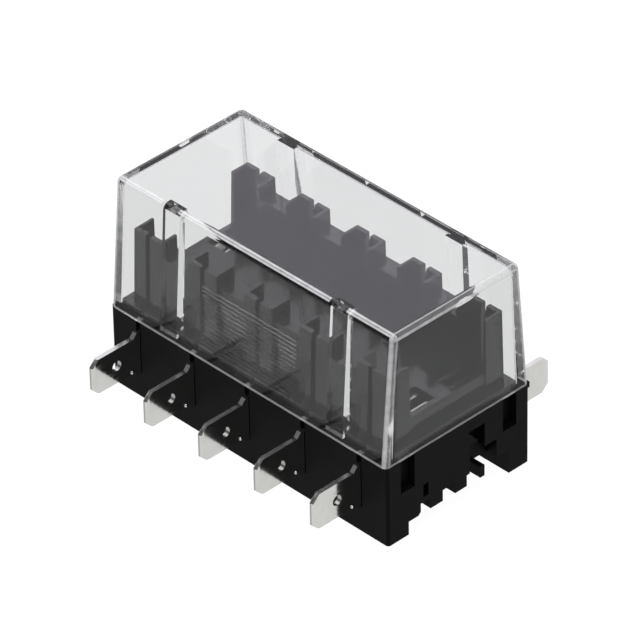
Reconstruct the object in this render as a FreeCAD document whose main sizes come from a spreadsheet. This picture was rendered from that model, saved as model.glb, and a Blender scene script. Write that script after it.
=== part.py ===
"""Blade fuse block: a black moulded housing, ten stamped terminals and a clear lift-off cover.

+X runs along the row of fuse ways, Y from one row of tabs to the other, +Z up.
The origin is at the middle of the underside. Lengths are in millimetres.
"""
import FreeCAD, Part
import math
import os
import Sketcher

# Driving dimensions: name, value, what it measures
SIZES = [
    ("ways", 5, "fuse positions in the row"),
    ("pitch", 12.0, "spacing of the fuse positions"),
    ("end_margin", 6.0, "last fuse position to the end face of the base"),
    ("side_room", 3.35, "outside of the guides to the outside of the base"),
    ("ledge_height", 14.3, "underside to the ledge that the cover stands on"),
    ("corner_radius", 0.5, "upright corners of the base"),
    ("skirt_thick", 4.35, "long skirt under each side wall"),
    ("rib_lift", 2.4, "underside of the middle ribs above the skirts"),
    ("groove_top", 4.4, "ceiling of the grooves under the base"),
    ("rib_bevel", 0.5, "bevel of the rib beside the front skirt"),
    ("deck_rise", 1.3, "deck inside the cover, above the ledge"),
    ("deck_clearance", 0.25, "deck to the inside of the cover"),
    ("seat_top", 19.0, "floor that a fuse body sits on, above the underside"),
    ("fuse_thick", 5.1, "medium blade fuse, body thickness"),
    ("fuse_length", 19.1, "medium blade fuse, body length"),
    ("blade_thick", 0.64, "medium blade fuse, blade thickness"),
    ("blade_width", 5.2, "medium blade fuse, blade width"),
    ("blade_span", 14.5, "medium blade fuse, over the outer edges of both blades"),
    ("fuse_clearance", 0.06, "fuse body to each cheek of its guide"),
    ("fuse_end_play", 0.75, "fuse body to the back wall of its guide"),
    ("guide_top", 28.5, "top of the guides above the underside"),
    ("guide_cheek", 0.45, "cheek of a guide at its top"),
    ("guide_back", 1.35, "back wall of a guide"),
    ("guide_reach", 2.2, "cheek from the back wall towards the middle"),
    ("guide_draft", 1.2, "draft of the guides, degrees"),
    ("guide_corner", 0.25, "bevel on the outer corners of a guide"),
    ("lead_in_depth", 2.6, "lead-in of a guide from its top"),
    ("lead_in_step", 0.55, "lead-in of a guide into its back wall"),
    ("link_top", 26.2, "top of the wall that links the guides"),
    ("link_wall", 0.85, "wall that links the guides, behind the fuses"),
    ("socket_width", 4.2, "opening over a clip, along the row"),
    ("socket_floor", 5.9, "floor under a clip"),
    ("bridge_play", 0.35, "clip to the bridge between the two sockets of one way"),
    ("strip_thick", 0.8, "sheet that the terminals are stamped from"),
    ("strip_play", 0.1, "sheet to each side of its slot"),
    ("strip_low", 6.0, "lower edge of the strip inside the base"),
    ("strip_high", 11.8, "upper edge of the strip inside the base"),
    ("wall_thick", 2.4, "side wall that the terminals pass through"),
    ("tab_centre", 8.5, "middle of the tabs above the underside"),
    ("tab_height", 6.3, "tab, across its flat"),
    ("tab_length", 10.1, "tip of a tab from the side wall"),
    ("tab_corner", 1.15, "corner bevel at the tip of a tab"),
    ("tab_edge", 0.22, "edge bevel at the tip of a tab"),
    ("tab_hole", 1.8, "detent hole of a tab, diameter"),
    ("tab_hole_back", 5.1, "detent hole from the tip of the tab"),
    ("root_height", 8.0, "root of a terminal where it leaves the wall"),
    ("shoulder_start", 0.75, "full height of the root outside the wall"),
    ("shoulder_slope", 0.75, "slope from the root down to the tab"),
    ("clip_grip", 0.34, "clip leaves closer at the neck than a blade, with no fuse in them"),
    ("clip_room", 1.3, "clip leaves apart at the bend"),
    ("clip_mouth", 1.9, "clip leaves apart at the mouth"),
    ("clip_bend", 7.45, "centre of the bend of a clip above the underside"),
    ("clip_recess", 0.9, "top of the clip leaves under the seat"),
    ("clip_flare", 2.2, "flare above the neck of the clip"),
    ("clip_taper", 3.7, "closing leaves under the neck of the clip"),
    ("joggle", 1.2, "length of the step from the strip to the clip leaf"),
    ("socket_play", 0.25, "clip to the ends of its socket"),
    ("cover_shortfall", 0.15, "cover rim inside the base at each end"),
    ("cover_overhang", 0.2, "cover rim over the side of the base"),
    ("cover_top", 37.4, "top of the cover above the underside"),
    ("cover_lean", 2.0, "lean of each long side from the rim to the roof"),
    ("cover_wall", 1.1, "roof, end walls, and long walls at the roof"),
    ("cavity_lean", 1.2, "lean of the inside of each long wall"),
    ("cover_edge", 0.95, "outer edge radius of the cover"),
    ("cover_inner_edge", 0.6, "inner edge radius of the cover"),
    ("post_width", 3.6, "guide post inside the cover, along the row"),
    ("post_depth", 1.05, "guide post into the cavity at the roof"),
    ("post_lean", 0.8, "lean of the inner face of a guide post"),
    ("pocket_play", 0.25, "deck pocket round the foot of a guide post"),
    ("pocket_floor", 9.0, "floor of the deck pockets"),
    ("latch_width", 2.9, "tall recess in an end face"),
    ("latch_inset", 4.2, "middle of a tall recess from the side of the base"),
    ("latch_low", 8.4, "lower end of the tall recess"),
    ("latch_depth", 1.4, "tall recess into the end face"),
    ("key_depth", 2.2, "keyhole and small slot into the end face"),
    ("key_neck", 5.5, "far edge of the neck of the keyhole"),
    ("key_near", 1.85, "near edge of the keyhole at its top"),
    ("key_side", 2.3, "near edge of the foot of the keyhole"),
    ("key_far", 8.0, "far edge of the foot of the keyhole"),
    ("key_shoulder", 7.85, "shoulder of the keyhole"),
    ("key_top", 12.2, "top of the keyhole"),
    ("key_barb", 4.1, "point of the barb that juts into the keyhole"),
    ("key_barb_height", 9.7, "underside of the barb"),
    ("small_slot", 7.0, "small upright slot from the middle"),
    ("small_slot_width", 1.1, "small upright slot"),
    ("small_slot_low", 5.3, "lower end of the small slot"),
    ("small_slot_high", 7.6, "upper end of the small slot"),
    ("pip_reach", 0.6, "corner pip out of the rear wall"),
    ("pip_height", 1.0, "corner pip"),
]

# Ribs and grooves under the base, in turn from the front skirt
RIBS = [
    ("rib_1", 2.55, "groove_1", 2.05),
    ("rib_2", 2.6, "groove_2", 2.6),
    ("rib_3", 2.5, "groove_3", 2.85),
    ("rib_4", 0.95, "groove_4", None),
]

HALF_ROW = "(Sizes.pitch * (Sizes.ways - 1) / 2)"
HALF_LENGTH = "(" + HALF_ROW + " + Sizes.end_margin)"
DECK_TOP = "(Sizes.ledge_height + Sizes.deck_rise)"
GUIDE_INNER = "(Sizes.fuse_length / 2 + Sizes.fuse_end_play)"
GUIDE_OUTER = "(" + GUIDE_INNER + " + Sizes.guide_back)"
GUIDE_NEAR = "(" + GUIDE_INNER + " - Sizes.guide_reach)"
GUIDE_GAP = "(Sizes.fuse_thick / 2 + Sizes.fuse_clearance)"
GUIDE_HALF = "(" + GUIDE_GAP + " + Sizes.guide_cheek)"
GUIDE_GROWTH = "((Sizes.guide_top - " + DECK_TOP + ") * tan(Sizes.guide_draft * 1deg))"
HALF_WIDTH = "(" + GUIDE_OUTER + " + Sizes.side_room)"
STRIP_HALF = "(Sizes.strip_thick / 2)"
SLOT_HALF = "(" + STRIP_HALF + " + Sizes.strip_play)"
TAB_TIP = "(" + HALF_WIDTH + " + Sizes.tab_length)"
CLIP_TOP = "(Sizes.seat_top - Sizes.clip_recess)"
CLIP_NECK = "(" + CLIP_TOP + " - Sizes.clip_flare)"
CLIP_KNEE = "(" + CLIP_NECK + " - Sizes.clip_taper)"
CLIP_OUTER = "(Sizes.blade_span / 2)"
CLIP_INNER = "(" + CLIP_OUTER + " - Sizes.blade_width)"
JOGGLE_END = "(" + CLIP_OUTER + " + Sizes.joggle)"
COVER_HALF_LENGTH = "(" + HALF_LENGTH + " - Sizes.cover_shortfall)"
COVER_HALF_WIDTH = "(" + HALF_WIDTH + " + Sizes.cover_overhang)"
CAVITY_HALF_TOP = "(" + COVER_HALF_WIDTH + " - Sizes.cover_lean - Sizes.cover_wall)"
CAVITY_HALF_RIM = "(" + CAVITY_HALF_TOP + " + Sizes.cavity_lean)"
POST_BACK_TOP = "(" + CAVITY_HALF_TOP + " - Sizes.post_depth)"
POST_BACK_RIM = "(" + POST_BACK_TOP + " + Sizes.post_lean)"
POST_PLACE = "(" + HALF_ROW + " - Sizes.pitch / 2)"

# How far a cut runs past the face that it starts from, and how close two numbers count as equal
SPARE = "1"
NEAR = 0.01

# An edge counts as upright when it rises this many times its run
STEEP = 3

doc = FreeCAD.newDocument("BladeFuseBlock")


def make_sizes():
    """Spreadsheet with one named cell for each driving dimension."""
    sheet = doc.addObject("Spreadsheet::Sheet", "Sizes")
    rows = list(SIZES)
    for rib, rib_width, groove, groove_width in RIBS:
        rows.append((rib, rib_width, "width of " + rib))
        if groove_width is not None:
            rows.append((groove, groove_width, "width of " + groove))
    for row, (name, value, meaning) in enumerate(rows, start=1):
        sheet.set("A%d" % row, meaning)
        sheet.set("B%d" % row, str(value))
        sheet.setAlias("B%d" % row, name)
    doc.recompute()
    return sheet


def make_body(name):
    """New empty body whose label is the name of its piece."""
    body = doc.addObject("PartDesign::Body", name)
    body.Label = name
    return body


def make_sketch(body, name, plane, offset=None):
    """Sketch on one of the body's own origin planes, moved along the plane's normal."""
    sketch = body.newObject("Sketcher::SketchObject", name)
    for feature in body.Origin.OriginFeatures:
        if feature.Role == plane:
            sketch.AttachmentSupport = (feature, [""])
    sketch.MapMode = "FlatFace"
    if offset is not None:
        sketch.setExpression("AttachmentOffset.Base.z", offset)
    return sketch


def fix_point(sketch, item, end, across, along):
    """Hold one end of a sketch line at the two expressions."""
    index = sketch.addConstraint(Sketcher.Constraint("DistanceX", -1, 1, item, end, 1.0))
    sketch.setExpression("Constraints[%d]" % index, across)
    index = sketch.addConstraint(Sketcher.Constraint("DistanceY", -1, 1, item, end, 1.0))
    sketch.setExpression("Constraints[%d]" % index, along)


def add_outline(sketch, corners):
    """Closed outline through corners, each given as a pair of expressions."""
    first = sketch.GeometryCount
    count = len(corners)
    ring = []
    for place in range(count):
        angle = 2 * math.pi * place / count
        ring.append(FreeCAD.Vector(math.cos(angle), math.sin(angle), 0))
    for place in range(count):
        sketch.addGeometry(Part.LineSegment(ring[place], ring[(place + 1) % count]), False)
    for place in range(count):
        follower = first + (place + 1) % count
        sketch.addConstraint(Sketcher.Constraint("Coincident", first + place, 2, follower, 1))
    for place, (across, along) in enumerate(corners):
        fix_point(sketch, first + place, 1, across, along)


def add_rectangle(sketch, low_across, high_across, low_along, high_along):
    """Upright rectangle between four expressions."""
    add_outline(sketch, [
        (low_across, low_along),
        (high_across, low_along),
        (high_across, high_along),
        (low_across, high_along),
    ])


def add_both_sides(sketch, low_across, high_across, near, far):
    """The same rectangle on the front and on the rear side of the block."""
    add_rectangle(sketch, low_across, high_across, near, far)
    add_rectangle(sketch, low_across, high_across, "-" + far, "-" + near)


def mirrored(corners):
    """Corners of an outline on the other side of the sketch's upright axis."""
    return [("-(" + across + ")", along) for across, along in corners]


def pad(body, name, sketch, length, symmetric=False, taper=None):
    """Material added from a sketch along its normal."""
    feature = body.newObject("PartDesign::Pad", name)
    feature.Profile = sketch
    feature.setExpression("Length", length)
    if symmetric:
        feature.SideType = "Symmetric"
    if taper is not None:
        feature.setExpression("TaperAngle", taper)
    sketch.Visibility = False
    return feature


def pocket(body, name, sketch, length, symmetric=False):
    """Material taken away, against the normal of the sketch."""
    feature = body.newObject("PartDesign::Pocket", name)
    feature.Profile = sketch
    feature.setExpression("Length", length)
    if symmetric:
        feature.SideType = "Symmetric"
    sketch.Visibility = False
    return feature


def origin_axis(body, role):
    """One of the body's own origin axes."""
    for feature in body.Origin.OriginFeatures:
        if feature.Role == role:
            return feature


def along_row(body, name, originals):
    """Repeat features from the first fuse position along the row."""
    pattern = body.newObject("PartDesign::LinearPattern", name)
    pattern.Originals = originals
    pattern.Direction = (origin_axis(body, "X_Axis"), [""])
    pattern.setExpression("Length", "Sizes.pitch * (Sizes.ways - 1)")
    pattern.setExpression("Occurrences", "Sizes.ways")
    body.Tip = pattern
    return pattern


def half_turn(body, name, originals):
    """Repeat features at the other end of the block, turned half round."""
    pattern = body.newObject("PartDesign::PolarPattern", name)
    pattern.Originals = originals
    pattern.Axis = (origin_axis(body, "Z_Axis"), [""])
    pattern.Angle = 360
    pattern.Occurrences = 2
    body.Tip = pattern
    return pattern


def edge_names(shape, wanted):
    """Names of the straight or curved edges whose two ends satisfy a test."""
    names = []
    for number, edge in enumerate(shape.Edges, start=1):
        if len(edge.Vertexes) == 2 and wanted(edge.Vertexes[0].Point, edge.Vertexes[1].Point):
            names.append("Edge%d" % number)
    return names


def upright(low, high):
    """True for an edge whose ends differ mostly in height."""
    run = math.hypot(high.x - low.x, high.y - low.y)
    return abs(high.z - low.z) > STEEP * run


def round_edges(body, name, wanted, radius):
    """Fillet on the edges of the body that satisfy a test."""
    doc.recompute()
    base = body.Tip
    feature = body.newObject("PartDesign::Fillet", name)
    feature.Base = (base, edge_names(base.Shape, wanted))
    feature.setExpression("Radius", radius)
    doc.recompute()
    return feature


def bevel_edges(body, name, wanted, size):
    """Chamfer on the edges of the body that satisfy a test."""
    doc.recompute()
    base = body.Tip
    feature = body.newObject("PartDesign::Chamfer", name)
    feature.Base = (base, edge_names(base.Shape, wanted))
    feature.setExpression("Size", size)
    doc.recompute()
    return feature


def first_way(half):
    """Low and high expressions of a span centred on the first fuse position."""
    return "-" + HALF_ROW + " - " + half, "-" + HALF_ROW + " + " + half


def base_block(body):
    """Plain block of the base with rounded upright corners."""
    sketch = make_sketch(body, "base_outline", "XY_Plane")
    add_rectangle(sketch, "-" + HALF_LENGTH, HALF_LENGTH, "-" + HALF_WIDTH, HALF_WIDTH)
    pad(body, "base", sketch, "Sizes.ledge_height")
    round_edges(body, "base_corners", upright, "Sizes.corner_radius")


def deck_and_seat(body):
    """Deck that fills the cover's rim, and the raised floor that the fuses sit on."""
    sketch = make_sketch(body, "deck_outline", "XY_Plane", "Sizes.ledge_height")
    half_length = "(" + COVER_HALF_LENGTH + " - Sizes.cover_wall - Sizes.deck_clearance)"
    half_width = "(" + CAVITY_HALF_RIM + " - Sizes.deck_clearance)"
    add_rectangle(sketch, "-" + half_length, half_length, "-" + half_width, half_width)
    pad(body, "deck", sketch, "Sizes.deck_rise")
    sketch = make_sketch(body, "seat_outline", "XY_Plane", "Sizes.ledge_height")
    seat_half = "(" + HALF_ROW + " + " + GUIDE_HALF + ")"
    add_rectangle(sketch, "-" + seat_half, seat_half, "-" + GUIDE_INNER, GUIDE_INNER)
    pad(body, "seat", sketch, "Sizes.seat_top - Sizes.ledge_height")


def guides(body):
    """Guides that hold the two ends of each fuse, and the lower walls that link them."""
    low, high = first_way("(" + GUIDE_HALF + " + " + GUIDE_GROWTH + ")")
    outer = "(" + GUIDE_OUTER + " + " + GUIDE_GROWTH + ")"
    near = "(" + GUIDE_NEAR + " - " + GUIDE_GROWTH + ")"
    cut = "Sizes.guide_corner"
    plan = [
        (low, near),
        (high, near),
        (high, outer + " - " + cut),
        (high + " - " + cut, outer),
        (low + " + " + cut, outer),
        (low, outer + " - " + cut),
    ]
    sketch = make_sketch(body, "guide_plan", "XY_Plane", DECK_TOP)
    add_outline(sketch, plan)
    add_outline(sketch, [(across, "-(" + along + ")") for across, along in plan])
    block = pad(body, "guide_blocks", sketch, "Sizes.guide_top - " + DECK_TOP, taper="-Sizes.guide_draft")
    along_row(body, "guide_row", [block])
    sketch = make_sketch(body, "link_plan", "XY_Plane", DECK_TOP)
    half = "(" + HALF_ROW + " + " + GUIDE_GAP + ")"
    link_outer = "(" + GUIDE_INNER + " + Sizes.link_wall)"
    add_both_sides(sketch, "-" + half, half, GUIDE_NEAR, link_outer)
    pad(body, "link_walls", sketch, "Sizes.link_top - " + DECK_TOP)


def fuse_spaces(body):
    """Room for the fuse bodies between the guides, with a lead-in at the top."""
    low, high = first_way(GUIDE_GAP)
    sketch = make_sketch(body, "fuse_plan", "XY_Plane", "Sizes.guide_top")
    add_rectangle(sketch, low, high, "-" + GUIDE_INNER, GUIDE_INNER)
    room = pocket(body, "fuse_room", sketch, "Sizes.guide_top - Sizes.seat_top")
    sketch = make_sketch(body, "lead_in_profile", "YZ_Plane", "-" + HALF_ROW)
    profile = [
        (GUIDE_INNER + " - " + SPARE, "Sizes.guide_top - Sizes.lead_in_depth"),
        (GUIDE_INNER, "Sizes.guide_top - Sizes.lead_in_depth"),
        (GUIDE_INNER + " + Sizes.lead_in_step", "Sizes.guide_top"),
        (GUIDE_INNER + " - " + SPARE, "Sizes.guide_top"),
    ]
    add_outline(sketch, profile)
    add_outline(sketch, mirrored(profile))
    lead_in = pocket(body, "lead_in", sketch, "2 * " + GUIDE_GAP, symmetric=True)
    along_row(body, "fuse_room_row", [room, lead_in])


def terminal_spaces(body):
    """Sockets for the clips and slots for the strips, open to the top for assembly."""
    low, high = first_way("(Sizes.socket_width / 2)")
    far = "(" + JOGGLE_END + " + Sizes.socket_play)"
    sketch = make_sketch(body, "socket_plan", "XY_Plane", "Sizes.seat_top")
    add_both_sides(sketch, low, high, "(" + CLIP_INNER + " - Sizes.bridge_play)", far)
    sockets = pocket(body, "sockets", sketch, "Sizes.seat_top - Sizes.socket_floor")
    low, high = first_way(SLOT_HALF)
    wall_inside = "(" + HALF_WIDTH + " - Sizes.wall_thick)"
    sketch = make_sketch(body, "strip_slot_plan", "XY_Plane", "Sizes.guide_top")
    add_both_sides(sketch, low, high, far, wall_inside)
    strip_slots = pocket(body, "strip_slots", sketch, "Sizes.guide_top - Sizes.strip_low")
    sketch = make_sketch(body, "wall_slot_plan", "XY_Plane", DECK_TOP)
    add_both_sides(sketch, low, high, wall_inside, "(" + HALF_WIDTH + " + " + SPARE + ")")
    wall_slots = pocket(body, "wall_slots", sketch, DECK_TOP + " - Sizes.tab_centre + Sizes.root_height / 2")
    along_row(body, "terminal_space_row", [sockets, strip_slots, wall_slots])


def underside(body):
    """Recess between the two long skirts, with its ribs and grooves."""
    sketch = make_sketch(body, "underside_profile", "YZ_Plane")
    lift = "Sizes.rib_lift"
    front = "(-" + HALF_WIDTH + " + Sizes.skirt_thick)"
    rear = "(" + HALF_WIDTH + " - Sizes.skirt_thick)"
    corners = [(front, "-" + SPARE), (front, lift)]
    place = front
    for rib, _rib_width, groove, groove_width in RIBS:
        place = place + " + Sizes." + rib
        if rib == RIBS[0][0]:
            corners.append((place + " - Sizes.rib_bevel", lift))
            corners.append((place, lift + " + Sizes.rib_bevel"))
        else:
            corners.append((place, lift))
        corners.append((place, "Sizes.groove_top"))
        if groove_width is not None:
            place = place + " + Sizes." + groove
            corners.append((place, "Sizes.groove_top"))
            corners.append((place, lift))
    corners.append((rear, "Sizes.groove_top"))
    corners.append((rear, "-" + SPARE))
    add_outline(sketch, corners)
    pocket(body, "underside", sketch, "2 * " + HALF_LENGTH + " + 2 * " + SPARE, symmetric=True)


def end_faces(body):
    """Recesses in the two end faces: tall latch recesses, a small slot and a keyhole."""
    sketch = make_sketch(body, "latch_profile", "YZ_Plane", HALF_LENGTH)
    inset = "(" + HALF_WIDTH + " - Sizes.latch_inset)"
    for place in ("-" + inset, inset):
        low = place + " - Sizes.latch_width / 2"
        high = place + " + Sizes.latch_width / 2"
        add_rectangle(sketch, low, high, "Sizes.latch_low", DECK_TOP + " + " + SPARE)
    latches = pocket(body, "latch_recesses", sketch, "Sizes.latch_depth")
    sketch = make_sketch(body, "key_profile", "YZ_Plane", HALF_LENGTH)
    add_rectangle(
        sketch,
        "-Sizes.small_slot - Sizes.small_slot_width / 2",
        "-Sizes.small_slot + Sizes.small_slot_width / 2",
        "Sizes.small_slot_low",
        "Sizes.small_slot_high",
    )
    add_outline(sketch, [
        ("Sizes.key_near", "Sizes.key_top"),
        ("Sizes.key_barb", "Sizes.key_barb_height"),
        ("Sizes.key_side", "Sizes.key_barb_height"),
        ("Sizes.key_side", "Sizes.groove_top"),
        ("Sizes.key_far", "Sizes.groove_top"),
        ("Sizes.key_far", "Sizes.key_shoulder"),
        ("Sizes.key_neck", "Sizes.key_shoulder"),
        ("Sizes.key_neck", "Sizes.key_top"),
    ])
    key = pocket(body, "keyhole", sketch, "Sizes.key_depth")
    half_turn(body, "end_recesses", [latches, key])


def post_pockets(body):
    """Pockets in the deck that take the feet of the cover's guide posts."""
    sketch = make_sketch(body, "pocket_plan", "XY_Plane", DECK_TOP)
    half = "(Sizes.post_width / 2 + Sizes.pocket_play)"
    near = "(" + POST_BACK_RIM + " - Sizes.pocket_play)"
    for place in ("-" + POST_PLACE, POST_PLACE):
        add_both_sides(sketch, place + " - " + half, place + " + " + half, near, CAVITY_HALF_RIM)
    pocket(body, "post_pockets", sketch, DECK_TOP + " - Sizes.pocket_floor")


def corner_pip(body):
    """Small pip on the rear wall, just under the cover, at one end."""
    sketch = make_sketch(body, "pip_profile", "XY_Plane", "Sizes.ledge_height - Sizes.pip_height")
    low = HALF_LENGTH + " - Sizes.corner_radius - Sizes.pip_height"
    high = HALF_LENGTH + " - Sizes.corner_radius"
    add_outline(sketch, [
        (low, HALF_WIDTH + " - Sizes.corner_radius"),
        (high, HALF_WIDTH + " - Sizes.corner_radius"),
        (high, HALF_WIDTH + " + Sizes.pip_reach"),
        (low + " + Sizes.pip_reach / 2", HALF_WIDTH + " + Sizes.pip_reach"),
        (low, HALF_WIDTH),
    ])
    pad(body, "corner_pip", sketch, "Sizes.pip_height")


def make_housing():
    """Black moulding: base, deck, fuse seats, guides and the spaces for the terminals."""
    body = make_body("housing")
    base_block(body)
    deck_and_seat(body)
    guides(body)
    fuse_spaces(body)
    terminal_spaces(body)
    underside(body)
    end_faces(body)
    post_pockets(body)
    corner_pip(body)
    return body


def terminal_blank(body):
    """Flat blank: tab, detent hole, shoulders, root and the strip that runs inwards."""
    middle = "Sizes.tab_centre"
    half_tab = "Sizes.tab_height / 2"
    half_root = "Sizes.root_height / 2"
    tip = TAB_TIP
    cut = "Sizes.tab_corner"
    root = HALF_WIDTH + " + Sizes.shoulder_start"
    neck = root + " + Sizes.shoulder_slope"
    inside = HALF_WIDTH + " - Sizes.wall_thick"
    upper = [
        (tip, middle + " + " + half_tab + " - " + cut),
        (tip + " - " + cut, middle + " + " + half_tab),
        (neck, middle + " + " + half_tab),
        (root, middle + " + " + half_root),
        (inside, middle + " + " + half_root),
        (inside, "Sizes.strip_high"),
        (JOGGLE_END, "Sizes.strip_high"),
    ]
    lower = [
        (JOGGLE_END, "Sizes.strip_low"),
        (inside, "Sizes.strip_low"),
        (inside, middle + " - " + half_root),
        (root, middle + " - " + half_root),
        (neck, middle + " - " + half_tab),
        (tip + " - " + cut, middle + " - " + half_tab),
        (tip, middle + " - " + half_tab + " + " + cut),
    ]
    sketch = make_sketch(body, "blank_outline", "YZ_Plane")
    add_outline(sketch, mirrored(upper + lower))
    pad(body, "blank", sketch, "Sizes.strip_thick", symmetric=True)
    sketch = make_sketch(body, "detent_circle", "YZ_Plane")
    sketch.addGeometry(Part.Circle(FreeCAD.Vector(0, 0, 0), FreeCAD.Vector(0, 0, 1), 1), False)
    index = sketch.addConstraint(Sketcher.Constraint("Diameter", 0, 1.0))
    sketch.setExpression("Constraints[%d]" % index, "Sizes.tab_hole")
    fix_point(sketch, 0, 3, "-(" + TAB_TIP + " - Sizes.tab_hole_back)", middle)
    pocket(body, "detent_hole", sketch, "2 * Sizes.strip_thick", symmetric=True)


def terminal_tip(body, sizes):
    """Bevelled edges round the tip, so that a receptacle slides on."""
    tip = -body.Tip.Shape.BoundBox.YMin
    start = tip - sizes.get("tab_corner") - NEAR
    half = sizes.get("strip_thick") / 2

    def at_tip(one, two):
        on_face = abs(abs(one.x) - half) < NEAR and abs(one.x - two.x) < NEAR
        return on_face and one.y < -start and two.y < -start

    bevel_edges(body, "tip_bevel", at_tip, "Sizes.tab_edge")


def clip_section(sketch):
    """Bent sheet of the clip in section: a round bend, two leaves, a neck and a mouth."""
    thick = "Sizes.strip_thick"
    inner = [
        ("Sizes.clip_mouth / 2", CLIP_TOP),
        ("(Sizes.blade_thick - Sizes.clip_grip) / 2", CLIP_NECK),
        ("Sizes.clip_room / 2", CLIP_KNEE),
        ("Sizes.clip_room / 2", "Sizes.clip_bend"),
    ]
    outer = [(across + " + " + thick, along) for across, along in inner]
    chains = [
        outer,
        [("-(" + across + ")", along) for across, along in reversed(outer)],
        [("-(" + across + ")", along) for across, along in inner],
        list(reversed(inner)),
    ]
    ends = []
    for chain in chains:
        first = sketch.GeometryCount
        for step in range(len(chain) - 1):
            start = FreeCAD.Vector(step, first, 0)
            finish = FreeCAD.Vector(step + 1, first, 0)
            sketch.addGeometry(Part.LineSegment(start, finish), False)
        for step in range(len(chain) - 2):
            sketch.addConstraint(Sketcher.Constraint("Coincident", first + step, 2, first + step + 1, 1))
        for step in range(len(chain) - 1):
            fix_point(sketch, first + step, 1, chain[step][0], chain[step][1])
        last = first + len(chain) - 2
        fix_point(sketch, last, 2, chain[-1][0], chain[-1][1])
        ends.append((first, last))
    add_bend(sketch, ends[0][1], 2, ends[1][0], 1)
    add_bend(sketch, ends[3][0], 1, ends[2][1], 2)
    add_leaf_end(sketch, ends[1][1], ends[2][0])
    add_leaf_end(sketch, ends[3][1], ends[0][0])


def add_bend(sketch, right, right_end, left, left_end):
    """Half circle under the leaves, centred on the bend line."""
    circle = Part.Circle(FreeCAD.Vector(0, 0, 0), FreeCAD.Vector(0, 0, 1), 1)
    arc = sketch.addGeometry(Part.ArcOfCircle(circle, math.pi, 2 * math.pi), False)
    sketch.addConstraint(Sketcher.Constraint("Coincident", arc, 1, left, left_end))
    sketch.addConstraint(Sketcher.Constraint("Coincident", arc, 2, right, right_end))
    index = sketch.addConstraint(Sketcher.Constraint("DistanceY", -1, 1, arc, 3, 1.0))
    sketch.setExpression("Constraints[%d]" % index, "Sizes.clip_bend")


def add_leaf_end(sketch, ending, starting):
    """Short line that closes the section at the mouth of one leaf."""
    line = Part.LineSegment(FreeCAD.Vector(0, 9, 0), FreeCAD.Vector(1, 9, 0))
    item = sketch.addGeometry(line, False)
    sketch.addConstraint(Sketcher.Constraint("Coincident", ending, 2, item, 1))
    sketch.addConstraint(Sketcher.Constraint("Coincident", item, 2, starting, 1))


def terminal_clip(body):
    """Clip that grips the fuse blade, and the step that joins it to the strip."""
    sketch = make_sketch(body, "joggle_plan", "XY_Plane", "Sizes.strip_low")
    add_outline(sketch, [
        ("-" + STRIP_HALF, "-" + JOGGLE_END),
        (STRIP_HALF, "-" + JOGGLE_END),
        ("Sizes.clip_room / 2 + Sizes.strip_thick", "-" + CLIP_OUTER),
        ("Sizes.clip_room / 2", "-" + CLIP_OUTER),
    ])
    pad(body, "joggle", sketch, "Sizes.strip_high - Sizes.strip_low")
    sketch = make_sketch(body, "clip_section", "XZ_Plane", CLIP_INNER)
    clip_section(sketch)
    pad(body, "clip", sketch, "Sizes.blade_width")


def make_terminal(name, way, turned, sizes):
    """Stamped terminal of one way, facing the front, or turned half round for the rear."""
    body = make_body(name)
    terminal_blank(body)
    doc.recompute()
    terminal_tip(body, sizes)
    terminal_clip(body)
    if turned:
        body.Placement = FreeCAD.Placement(FreeCAD.Vector(), FreeCAD.Rotation(FreeCAD.Vector(0, 0, 1), 180))
    place = "Sizes.pitch * (%d - (Sizes.ways - 1) / 2)" % way
    body.setExpression("Placement.Base.x", place)
    return body


def leaning_line(at_roof, lean, height):
    """Distance from the middle plane to a face that leans outwards from the roof to the rim."""
    drop = "(Sizes.cover_top - " + height + ")"
    return "(" + at_roof + " + " + lean + " * " + drop + " / (Sizes.cover_top - Sizes.ledge_height))"


def long_section(body, name, at_roof, lean, high):
    """Section across the row, from the rim up to a height: two leaning sides, flat on top."""
    low = "Sizes.ledge_height"
    sketch = make_sketch(body, name, "YZ_Plane")
    add_outline(sketch, [
        ("-" + leaning_line(at_roof, lean, low), low),
        (leaning_line(at_roof, lean, low), low),
        (leaning_line(at_roof, lean, high), high),
        ("-" + leaning_line(at_roof, lean, high), high),
    ])
    return sketch


def guide_posts(body, name, place):
    """Solid posts inside both long walls at one place along the row, from the rim to the roof."""
    sketch = make_sketch(body, name + "_section", "YZ_Plane", place)
    low = "Sizes.ledge_height"
    high = "(Sizes.cover_top - Sizes.cover_wall / 2)"
    in_wall = "(" + CAVITY_HALF_TOP + " + Sizes.cover_wall / 2)"
    section = [
        (leaning_line(POST_BACK_TOP, "Sizes.post_lean", low), low),
        (leaning_line(in_wall, "Sizes.cavity_lean", low), low),
        (leaning_line(in_wall, "Sizes.cavity_lean", high), high),
        (leaning_line(POST_BACK_TOP, "Sizes.post_lean", high), high),
    ]
    add_outline(sketch, section)
    add_outline(sketch, mirrored(section))
    pad(body, name, sketch, "Sizes.post_width", symmetric=True)


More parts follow.
